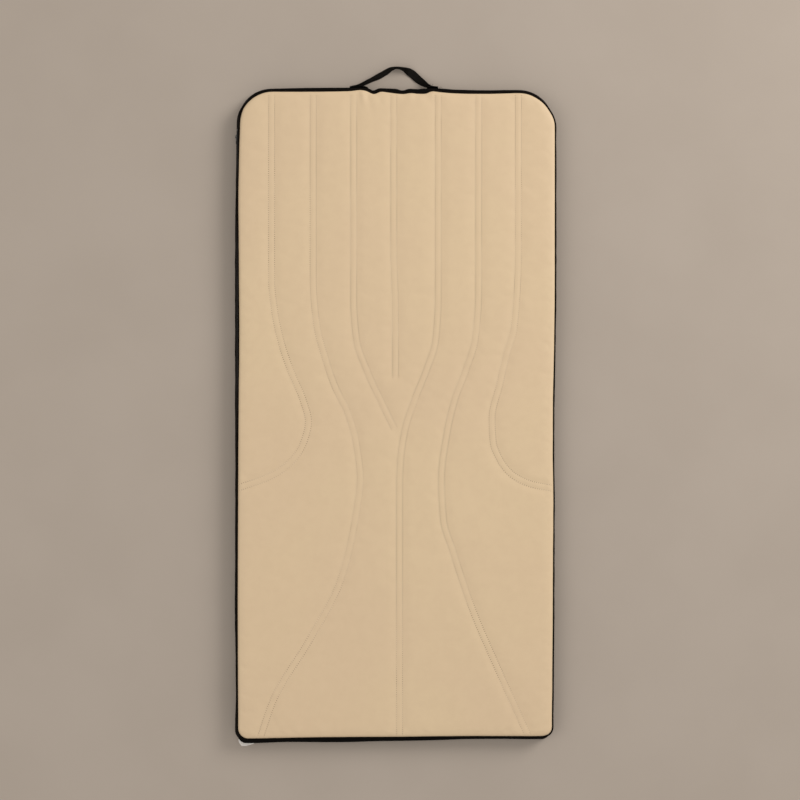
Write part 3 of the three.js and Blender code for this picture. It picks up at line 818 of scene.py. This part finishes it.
def cover_face():
    """The tan face: cloth filled like a quilt between double-stitched seams."""
    rim = [(0.6, COVER_PIPING_Z + 0.8), (2.4, FACE_Z - 4.2), (5.4, FACE_Z - 1.5), (10.5, FACE_Z - 0.2),
           (17, FACE_Z)]
    under = [(2.6, COVER_PIPING_Z - 1.5), (14, COVER_PIPING_Z - 3)]
    points, faces = filled(COVER_OUTLINE, rim, COLUMNS, ROWS, under)
    piece = to_mesh("cover_face", points, faces, LOOKS["tan_leather"])
    count = len(COVER_OUTLINE)
    across, _, here = nearest_seam(points)
    beside_row = np.abs(np.abs(across) - SEAM_HALF_WIDTH)
    holds = np.clip(1.25 - beside_row / 9, 0, 1) * here
    holds[:4 * count] = 1
    holds[-2 * count:] = 1
    puff(piece, holds, 2.2, 0.004, 1.9)
    subdivide(piece)
    close_below(piece)

    points = points_of(piece)
    across, along, here = nearest_seam(points)
    face = np.clip((points[:, 2] - (FACE_Z - 4)) / 4, 0, 1)
    ridge = 0.35 * np.exp(-(across / 5.2) ** 2) * here
    groove = -0.45 * np.exp(-((np.abs(across) - SEAM_HALF_WIDTH) / 3.4) ** 2) * here
    soft = bumps(points, 150, 0.9, 3.1) + bumps(points, 47, 0.45, 8.7)
    points[:, 2] += face * (ridge + groove + soft + handle_wrinkles(points))
    set_points(piece, points)
    set_attribute(piece, "seam_across", np.abs(across))
    set_attribute(piece, "seam_along", along)
    set_attribute(piece, "seam_here", here * face)
    dress(piece, "tan_leather", "cover", "cover_top_panel")
    return piece


def topstitch(x, y, surface_z, ahead):
    """One stitch of thread pressed into the face: flattened, and tapered at both ends."""
    side = np.array((-ahead[1], ahead[0], 0))
    ahead = np.array((*ahead, 0)) + side * 0.05 * noise.noise(Vector((x, y, 0)) * 0.7)
    flattened_up = np.array((0, 0, 0.7))
    sections = []
    for reach, swell in ((-1.0, 0.3), (-0.72, 0.95), (0.72, 0.95), (1.0, 0.3)):
        centre = np.array((x, y, surface_z + 0.22 - 0.5 * reach * reach)) + ahead * reach * STITCH_LENGTH / 2
        sections.append(circle(centre, side, flattened_up, THREAD_RADIUS * swell, 6))
    return lofted(sections)


def topstitching(face):
    """Two rows of thread on each seam, one piece for each seam."""
    surface = BVHTree.FromObject(face, bpy.context.evaluated_depsgraph_get())
    for number, (line, forward, sideways, lengths) in enumerate(SEAM_LINES, 1):
        stitches = []
        for row in (line - SEAM_HALF_WIDTH * sideways, line + SEAM_HALF_WIDTH * sideways):
            for at in np.arange(STITCH_PITCH / 2, lengths[-1], STITCH_PITCH):
                x, y = (np.interp(at, lengths, row[:, k]) for k in (0, 1))
                ahead = np.array([np.interp(at, lengths, forward[:, k]) for k in (0, 1)])
                hit = surface.ray_cast(Vector((x * MM, y * MM, 0.2)), Vector((0, 0, -1)))[0]
                if hit is not None and hit.z / MM > FACE_Z - 5:
                    stitches.append(topstitch(x, y, hit.z / MM, ahead))
        join_pieces(f"topstitch_{number}", stitches, "tan_thread", "cover")


def edge_piping(name, outline, z, body, node):
    """A cord in a black binding, sewn into the edge."""
    sides = 10
    angles = np.arange(sides) / sides * 2 * math.pi
    section = [(PIPING_RADIUS * -math.cos(a), z + PIPING_RADIUS * -math.sin(a)) for a in angles]
    points, faces = carried(outline, section[::-1])
    count = len(outline)
    outward = np.tile(round_trip(outline), (sides, 1))
    middle = np.tile(np.column_stack([outline, np.full(count, z)]), (sides, 1))
    swell = 1 + bumps(middle, 26, 0.16, 5.0)
    shift = bumps(middle, 60, 0.7, 2.0)
    lift = bumps(middle, 80, 0.6, 9.0)
    points = middle + (points - middle) * swell[:, None]
    points[:, :2] += outward * shift[:, None]
    points[:, 2] += lift
    piece = closed_mesh(name, points, faces, LOOKS["black_piping"])
    dress(piece, "black_piping", body, node)


def side_wall(name, outline, section, body, node):
    """The black leather wall of a quilt between its piping and its lining, a little creased.

    Beside the zip it is drawn in behind the tapes, so that the slider can pass.
    """
    thickness = 1.2
    inner = [(out - thickness, z) for out, z in section][::-1]
    points, faces = carried(outline, section + inner)
    count = len(outline)
    outward = np.tile(round_trip(outline), (len(section) * 2, 1))
    flat = points * (1, 1, 0.4)
    crease = bumps(flat, 38, 1.1, 4.0) + bumps(flat, 15, 0.5, 6.0)
    heights = np.array([z for _, z in section + inner])
    middle = np.interp(heights, *ease_ends(heights))
    points[:, :2] += outward * (crease * np.repeat(middle, count))[:, None]
    beside_zip = np.clip((ZIP_REACH - np.abs(heights - MIDDLE_Z)) / 6, 0, 1)
    drawn_in = np.maximum(ZIP_WALL + 1.4 - outline[:, 0], 0)
    points[:, 0] += np.outer(beside_zip, drawn_in).ravel()
    piece = closed_mesh(name, points, faces, LOOKS["black_leather"])
    dress(piece, "black_leather", body, node)


def ease_ends(heights):
    """Knots and weights that are 0 at both ends of a span of heights and 1 in the middle."""
    low, high = heights.min(), heights.max()
    return [low, low + 0.25 * (high - low), high - 0.25 * (high - low), high], [0, 1, 1, 0]


def base_underside():
    """The black underside, flat where it lies on the floor, with soft creases towards its edge."""
    columns, rows = COLUMNS // 2, ROWS // 2
    outline = base_outline(columns, rows)
    rim = [(0.4, BASE_PIPING_Z - 1.5), (1.6, 2.6), (4.5, 0.7), (10, 0.2), (18, 0.15)]
    under = [(3, BASE_PIPING_Z), (14, BASE_PIPING_Z + 2)]
    points, faces = filled(outline, rim, columns, rows, under)
    faces = [face[::-1] for face in faces]
    piece = to_mesh("base_underside", points, faces, LOOKS["black_leather"])
    subdivide(piece)
    close_below(piece)
    points = points_of(piece)
    lying = np.clip(1 - points[:, 2] / 3, 0, 1)
    lift = np.abs(bumps(points, 70, 0.9, 1.0) + bumps(points, 24, 0.5, 2.0))
    points[:, 2] = np.maximum(points[:, 2] + lying * lift, 0.1)
    set_points(piece, points)
    dress(piece, "black_leather", "base", "base_bottom_panel")


def inner_lining(name, outline, z, faces_up, body, node):
    """The charcoal lining, quilted in long channels, seen when the blanket is open."""
    side = 1 if faces_up else -1
    rim = [(0.2, z), (4, z + side * 0.1), (9, z + side * 0.2)]
    behind_zip = np.column_stack([np.maximum(outline[:, 0], ZIP_WALL + 0.2), outline[:, 1]])
    points, faces = filled(behind_zip, rim, COLUMNS, ROWS)
    piece = to_mesh(name, points, faces if faces_up else [face[::-1] for face in faces], LOOKS["liner"])
    channel = 87.5
    across = np.abs((points[:, 0] / channel) % 1 - 0.5) * 2
    pillow = 1.5 * (1 - across ** 6) + bumps(points, 60, 0.5, 4.0) + bumps(points, 22, 0.25, 7.0)
    inside = np.clip((BASE_HALF_LENGTH - 14 - np.abs(points[:, 1])) / 25, 0, 1)
    inside *= np.clip((HALF_WIDTH - 6 - np.abs(points[:, 0])) / 20, 0, 1)
    points[:, 2] += side * np.maximum(pillow, 0) * inside
    set_points(piece, points)
    thick = piece.modifiers.new("cloth", "SOLIDIFY")
    thick.thickness = 0.8 * MM
    thick.offset = -1
    apply_modifiers(piece)
    dress(piece, "liner", body, node)


def inner_pad(prefix, body):
    """The fluffy batting inside a quilt, softly rounded at its edge."""
    low, high = box_mm(f"{prefix}_insulation_batting")
    columns, rows = COLUMNS // 4, ROWS // 4
    half_length = high[1] + 18
    plain = {side: [(-1, 0), (1, 0)] for side in COVER_SIDES}
    square = {corner: (0, 0) for corner in COVER_LEAN}
    outline = quilt_outline(half_length, square, plain, columns, rows)
    thick = high[2] - low[2]
    top, middle = high[2], low[2] + thick / 2
    rim = [(19, middle), (20.5, top - 3.2), (24, top - 0.6), (30, top - 0.2)]
    under = [(20.5, low[2] + 3.2), (24, low[2] + 0.6), (30, low[2] + 0.2)]
    points, faces = filled(outline, rim, columns, rows, under)
    piece = to_mesh(f"{prefix}_filling", points, faces, LOOKS["batting"])
    close_below(piece)
    points[:, 2] += np.clip((points[:, 2] - middle) / 4, -1, 1) * -np.abs(bumps(points, 40, 0.5, 3.0))
    if prefix == "base":
        notch = box_mm("inlet_housing")
        beside = np.abs(points[:, 0] - (notch[0][0] + notch[1][0]) / 2) < 30
        behind = points[:, 1] < notch[1][1] + 4
        points[beside & behind, 1] = notch[1][1] + 4
    set_points(piece, points)
    outward_normals(piece)
    dress(piece, "batting", body, f"{prefix}_insulation_batting")


# ---- zip, fold and closing strips ----

ZIP_LOW, ZIP_HIGH = box_mm("base_zip_coil")
ZIP_X = (ZIP_LOW[0] + ZIP_HIGH[0]) / 2
TOOTH_PITCH = 2.0


def zip_tape(prefix, side, body):
    """One woven tape, folded down against the wall and standing free towards the teeth."""
    low, high = box_mm(f"{prefix}_zip_tape")
    wall, out = high[0], low[0]
    thick = 0.7
    foot_z, root_z, bend_z, free_z = (MIDDLE_Z - side * d for d in (14, 10, 7.3, 1.5))
    bends = [(wall - 0.2, foot_z), (wall - 0.2, root_z), (out + 0.9, bend_z), (out + 0.7, free_z)]
    route = smooth_line(bends, 1.2)
    forward = directions(route)
    sideways = np.stack([forward[:, 1], -forward[:, 0]], axis=1) * thick / 2
    section = np.concatenate([route + sideways, (route - sideways)[::-1]])
    places = np.arange(low[1], high[1], 8.0)
    wave = 0.25 * np.sin(places / 31) + 0.15 * np.sin(places / 11 + side)
    points, faces = lofted([[(x + shift, y, z) for x, z in section] for y, shift in zip(places, wave)])
    piece = closed_mesh(f"{prefix}_tape", points, faces, LOOKS["zip_tape"])
    dress(piece, "zip_tape", body, f"{prefix}_zip_tape")

    stitches = []
    for y in np.arange(places[0] + 4, places[-2] - 2, 3.2):
        centre = (wall - 0.75, y, MIDDLE_Z - side * 12.4)
        stitches.append(thread_stitch(centre, (0, 1, 0), (-1, 0, 0), 2.3, 0.35))
    join_pieces(f"{prefix}_tape_stitches", stitches, "black_thread", body)


def thread_stitch(centre, ahead, up, length, radius):
    """One stitch: a short thread lying on a surface whose outward direction is up."""
    centre, ahead, up = (np.array(v, float) for v in (centre, ahead, up))
    ahead /= np.linalg.norm(ahead)
    side = np.cross(ahead, up)
    side /= np.linalg.norm(side)
    sections = []
    for reach, swell in ((-1, 0.35), (-0.6, 1), (0.6, 1), (1, 0.35)):
        middle = centre + ahead * reach * length / 2 - up * 0.4 * radius * reach * reach
        sections.append(circle(middle, side, up, radius * swell, 5))
    return lofted(sections)


def join_pieces(name, parts, look, body, *nodes, smooth=True):
    """Many small closed meshes as one piece."""
    points, faces, start = [], [], 0
    for some_points, some_faces in parts:
        points.append(some_points)
        faces += [[i + start for i in face] for face in some_faces]
        start += len(some_points)
    piece = closed_mesh(name, np.concatenate(points), faces, LOOKS[look], smooth)
    slots = {"black_thread": "black_piping", "tan_thread": "tan_leather"}
    dress(piece, slots.get(look, look), body, *nodes)


def zip_teeth(prefix, side, body):
    """Moulded teeth that mesh with the other side's, each a rounded head on a narrower neck."""
    parts = []
    start = ZIP_LOW[1] + (TOOTH_PITCH / 2 if side < 0 else 0)
    half = (ZIP_HIGH[0] - ZIP_LOW[0]) / 2
    outline = [(-1.0, 3.3), (-0.55, 3.3), (-0.45, 0.4), (-0.62, -0.1), (-0.5, -0.75), (0, -1.0),
               (0.5, -0.75), (0.62, -0.1), (0.45, 0.4), (0.55, 3.3), (1.0, 3.3), (1.0, 4.1), (-1.0, 4.1)]
    for y in np.arange(start, ZIP_HIGH[1] - 0.8, TOOTH_PITCH):
        sections = []
        for x, shrink in ((-half, 0.82), (0.3 - half, 1), (half - 0.3, 1), (half, 0.82)):
            section = np.array(outline) * shrink * (0.98, -side)
            sections.append([(ZIP_X + x, y + a, MIDDLE_Z + b) for a, b in section])
        parts.append(lofted(sections))
    join_pieces(f"{prefix}_teeth", parts, "zip_coil", body, f"{prefix}_zip_coil", smooth=False)


def fold_gusset():
    """The leather strip that joins the quilts along the folded side."""
    low, high = box_mm("base_fold_strip")
    top = box_mm("cover_fold_strip")[1][2]
    heights = np.linspace(low[2], top, 22)
    places = np.arange(low[1], high[1] + 1, 7.0)
    base_x = edge_at(BASE_FINE, places) + 2.4
    cover_x = edge_at(COVER_FINE, places) + 2.4
    rise = np.clip((heights - MIDDLE_Z) / 14 + 0.5, 0, 1)
    half_thick = 0.5
    sections = []
    for y, from_x, to_x in zip(places, base_x, cover_x):
        middle = np.column_stack([from_x + (to_x - from_x) * rise, np.full(len(heights), y), heights])
        sections.append(np.concatenate([middle + (half_thick, 0, 0), (middle - (half_thick, 0, 0))[::-1]]))
    points, faces = lofted(sections)
    points[:, 0] += bumps(points, 30, 0.35, 2.0) * np.clip(1 - np.abs(points[:, 2] - MIDDLE_Z) / 14, 0, 1)
    piece = closed_mesh("fold_gusset", points, faces, LOOKS["black_leather"])
    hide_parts("base_fold_strip", "cover_fold_strip")
    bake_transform(piece)
    for body, z, edge in (("base", low[2] + 2.5, base_x), ("cover", top - 2.5, cover_x)):
        row = []
        for y in np.arange(places[0] + 5, places[-1] - 3, STITCH_PITCH):
            x = np.interp(y, places, edge) + half_thick + 0.1
            row.append(thread_stitch((x, y, z), (0, 1, 0), (1, 0, 0), 2.6, 0.4))
        join_pieces(f"{body}_fold_stitches", row, "black_thread", body)


def from_ends(values):
    """0 at both ends of a row of values and 1 from 2 mm inwards."""
    return np.clip(np.minimum(values - values[0], values[-1] - values) / 2.0, 0, 1)


def grip_strip(name, node, faces_up, body):
    """Hook or loop tape: a woven backing with a dense pile that thins out at its edge."""
    low, high = box_mm(node)
    side = 1 if faces_up else -1
    back, pile = (low[2], high[2] - 0.3) if faces_up else (high[2], low[2] + 0.3)
    xs, ys = np.linspace(low[0], high[0], 261), np.linspace(low[1], high[1], 13)
    grid = np.array([[(x, y, 0) for y in ys] for x in xs])
    rise = np.minimum(from_ends(xs)[:, None], from_ends(ys)[None, :]).ravel()
    number = np.arange(grid.size // 3).reshape(len(xs), len(ys))
    cells = np.stack([number[:-1, :-1], number[1:, :-1], number[1:, 1:], number[:-1, 1:]], axis=-1)
    edge = np.concatenate([number[:, 0], number[-1, 1:], number[-2::-1, -1], number[0, -2:0:-1]])
    top = grid.reshape(-1, 3)
    top[:, 2] = back + side * (0.7 + (abs(pile - back) - 0.7 + bumps(top, 2.6, 0.35, 3.0)) * rise)
    bottom = top[edge] * (1, 1, 0) + (0, 0, back)
    below = len(top) + np.arange(len(edge))
    walls = np.stack([edge, below, np.roll(below, -1), np.roll(edge, -1)], axis=1)
    faces = cells.reshape(-1, 4).tolist() + walls.tolist() + [below.tolist()]
    piece = closed_mesh(name, np.concatenate([top, bottom]), faces, LOOKS["hook_and_loop"])
    dress(piece, "hook_and_loop", body, node)


# ---- handle and label ----

STRAP_WIDTH = 22.0
STRAP_THICKNESS = 2.0
HANDLE_ROUTE = [      # x, y, and how far the strap leans over, in degrees
    (-128, 915.8, -8), (-113, 918.4, 0), (-99, 921.5, 10), (-89.6, 925.4, 16), (-65.8, 936.9, 21),
    (-47.6, 945.7, 33), (-25.9, 958, 31), (-9.7, 967.2, 14), (3.9, 970, 3), (17, 967.6, 11),
    (32.7, 961.2, 43), (46.6, 954.3, 78), (61.5, 940.3, 66), (77.2, 927.7, 44), (92.8, 918.9, 15),
    (104, 916, 2), (119, 915.1, 0),
]
TAB_ROUTES = {
    "left": [(-118, 916.6, 0), (-98, 917.2, 0), (-86, 915.9, 0), (-77, 912.6, 0)],
    "right": [(88, 913.6, 0), (95, 915, 0), (102, 915.2, 0)],
}


def webbing_length(name, stations):
    """A length of webbing standing on edge along (x, y, lean) stations."""
    route = smooth_line(stations, 2.0)
    flat = route[:, :2]
    forward = directions(flat)
    sections, across, along = [], [], []
    lengths = lengths_along(flat)
    half_width, half_thick = STRAP_WIDTH / 2, STRAP_THICKNESS / 2
    steps = np.linspace(-1, 1, 12)
    edge_round = 0.45 * (np.abs(steps) > 0.99)
    section = list(zip(steps, 1 - edge_round)) + list(zip(steps[::-1], edge_round - 1))
    for (x, y, tilt), ahead, length in zip(route, forward, lengths):
        lean = math.radians(tilt)
        outward = np.array((-ahead[1], ahead[0], 0))
        up = np.array((0, 0, 1.0))
        wide = up * math.cos(lean) + outward * math.sin(lean)
        thick = outward * math.cos(lean) - up * math.sin(lean)
        middle = np.array((x, y, 1.0 + half_width * math.cos(lean) + half_thick * math.sin(lean)))
        sections.append([middle + wide * a * half_width + thick * b * half_thick for a, b in section])
        across += [a * half_width for a, _ in section]
        along += [length] * len(section)
    points, faces = lofted(sections)
    points[:, 1] += bumps(points, 18, 0.25, 2.0)
    piece = closed_mesh(name, points, faces, LOOKS["webbing"])
    set_attribute(piece, "across", across)
    set_attribute(piece, "along", along)
    return piece, lengths[-1]


def carry_handle():
    """One continuous strap that turns flatter on its right limb, with its folded-under ends as tabs."""
    strap, length = webbing_length("handle_strap", HANDLE_ROUTE)
    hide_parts("handle_end_left", "handle_end_right", "handle_loop")
    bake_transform(strap)
    for side, route in TAB_ROUTES.items():
        tab, _ = webbing_length(f"handle_tab_{side}", route)
        dress(tab, "webbing", "base")


def bartacks():
    """Dense zigzag tacks where the strap's ends are sewn down, and a few loose thread ends."""
    parts = []
    for x0, x1, y0, y1 in ((-127, -115, 918.0, 919.2), (106, 118, 916.6, 916.1)):
        for k, x in enumerate(np.arange(x0, x1, 0.9)):
            y = y0 + (y1 - y0) * (x - x0) / (x1 - x0)
            lean = 0.28 if k % 2 else -0.28
            for z in (7.5, 16.5):
                parts.append(thread_stitch((x, y, z), (lean, 0, 1), (0, 1, 0), 6.4, 0.45))
    join_pieces("handle_tacks", parts, "black_thread", "base")

    ends = [
        [(101, 913.5, 12), (101.5, 917, 15), (103, 921, 13), (104.5, 925.5, 8)],
        [(96, 915.5, 12), (95.6, 918, 17), (97, 922, 20), (99, 924, 18)],
        [(-113, 917, 11), (-115, 920, 14), (-118.5, 922, 12), (-121, 921, 7)],
        [(122, 911.5, 10), (124, 915, 13), (127, 917, 10), (128.5, 916.5, 5)],
    ]
    threads = []
    for route in ends:
        line = smooth_line(route, 1.2)
        forward = directions(line)
        sections = []
        for point, ahead in zip(line, forward):
            side = np.cross(ahead, (0.3, 0.2, 0.93))
            side /= np.linalg.norm(side)
            sections.append(circle(point, side, np.cross(side, ahead), 0.35, 4))
        threads.append(lofted(sections))
    join_pieces("handle_thread_ends", threads, "black_thread", "base")


def care_label():
    """A pale label sewn in under the foot's left corner, its tip out on the floor."""
    root = np.array([(-424, -884), (-394, -896)])
    tip = [(-440.4, -911), (-437.4, -920.6), (-431.4, -928.2), (-417.8, -928), (-396.5, -921.6)]
    rows, steps = 14, 18
    edge = evenly(np.array(tip), steps)
    back = evenly(root, steps)
    grid = []
    for r in range(rows + 1):
        t = r / rows
        line = back * (1 - t) + edge * t
        ripple = 0.3 * np.sin(np.linspace(0, 7, steps + 1) + 2 * t) * t
        lift = 0.9 + 5.0 * max(0, t - 0.8) ** 1.5 + ripple
        grid.append(np.column_stack([line, np.full(steps + 1, lift)]))
    points, faces = lofted(grid, closed_section=False)
    piece = to_mesh("care_label_tip", points, faces, LOOKS["label_cloth"])
    thick = piece.modifiers.new("cloth", "SOLIDIFY")
    thick.thickness = 0.5 * MM
    thick.offset = 0
    apply_modifiers(piece)
    outward_normals(piece)
    dress(piece, "label_cloth", "base", "care_label")


# ---- the rest of the CAD nodes ----

def finish_cad_nodes():
    """Materials and rounded edges for the CAD nodes that stay as they are."""
    slots = {
        "reflective_foil": "foil", "heater_carrier": "scrim", "felt_layer": "felt",
        "heating_wire": "heating_wire",
        "temperature_sensor": "sensor_resin", "thermal_cutout": "sensor_resin", "lead": "lead_rubber",
        "zip_top_stop": "zip_metal", "zip_retainer": "zip_metal", "zip_pin": "zip_metal",
        "zip_slider_body": "zip_metal", "zip_pull_tab": "zip_metal", "inlet_housing": "inlet_plastic",
        "inlet_bezel": "inlet_plastic", "inlet_contacts": "contact_brass", "inlet_screw": "zip_metal",
    }
    rounding = {"zip_slider_body": 0.35, "zip_pull_tab": 0.3, "inlet_bezel": 0.5, "inlet_housing": 0.3,
                "zip_top_stop": 0.35, "zip_retainer": 0.4, "zip_pin": 0.4, "inlet_screw": 0.12,
                "temperature_sensor": 0.8, "thermal_cutout": 0.8}
    for name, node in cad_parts.items():
        if node.hide_render:
            continue
        for part, slot in slots.items():
            if part in name:
                node.data.materials.clear()
                node.data.materials.append(LOOKS[slot])
        for part, width in rounding.items():
            if part in name:
                bevel = node.modifiers.new("rounded", "BEVEL")
                bevel.width = width * MM
                bevel.segments = 3
                bevel.limit_method = "ANGLE"
                bevel.angle_limit = math.radians(30)


# ---- assembly ----

make_stage()
tan_face = cover_face()
topstitching(tan_face)
edge_piping("cover_edge_piping", COVER_FINE, COVER_PIPING_Z, "cover", "cover_piping")
edge_piping("base_edge_piping", BASE_FINE, BASE_PIPING_Z, "base", "base_piping")

BASE_WALL = [(-0.6, 10.2), (1.0, 12.4), (0.4, 15.5), (-0.4, 18.5), (-0.6, 21.6)]
COVER_WALL = [(-0.6, 30.4), (0.2, 33.0), (1.2, 36.2), (1.0, 39.4), (-0.6, 41.8)]
side_wall("base_side_wall", BASE_FINE, BASE_WALL, "base", "base_side_band")
side_wall("cover_side_wall", COVER_FINE, COVER_WALL, "cover", "cover_side_band")
base_underside()
inner_lining("base_lining", BASE_OUTLINE, BASE_LINER[1][2] - 0.2, True, "base", "base_inner_liner")
inner_lining("cover_lining", COVER_OUTLINE, COVER_LINER[0][2] + 0.2, False, "cover", "cover_inner_liner")
inner_pad("base", "base")
inner_pad("cover", "cover")

for label, direction in (("base", 1), ("cover", -1)):
    zip_tape(label, direction, label)
    zip_teeth(label, direction, label)
fold_gusset()
grip_strip("base_hook_tape", "base_hook_strip", True, "base")
grip_strip("cover_loop_tape", "cover_loop_strip", False, "cover")
carry_handle()
bartacks()
care_label()
finish_cad_nodes()
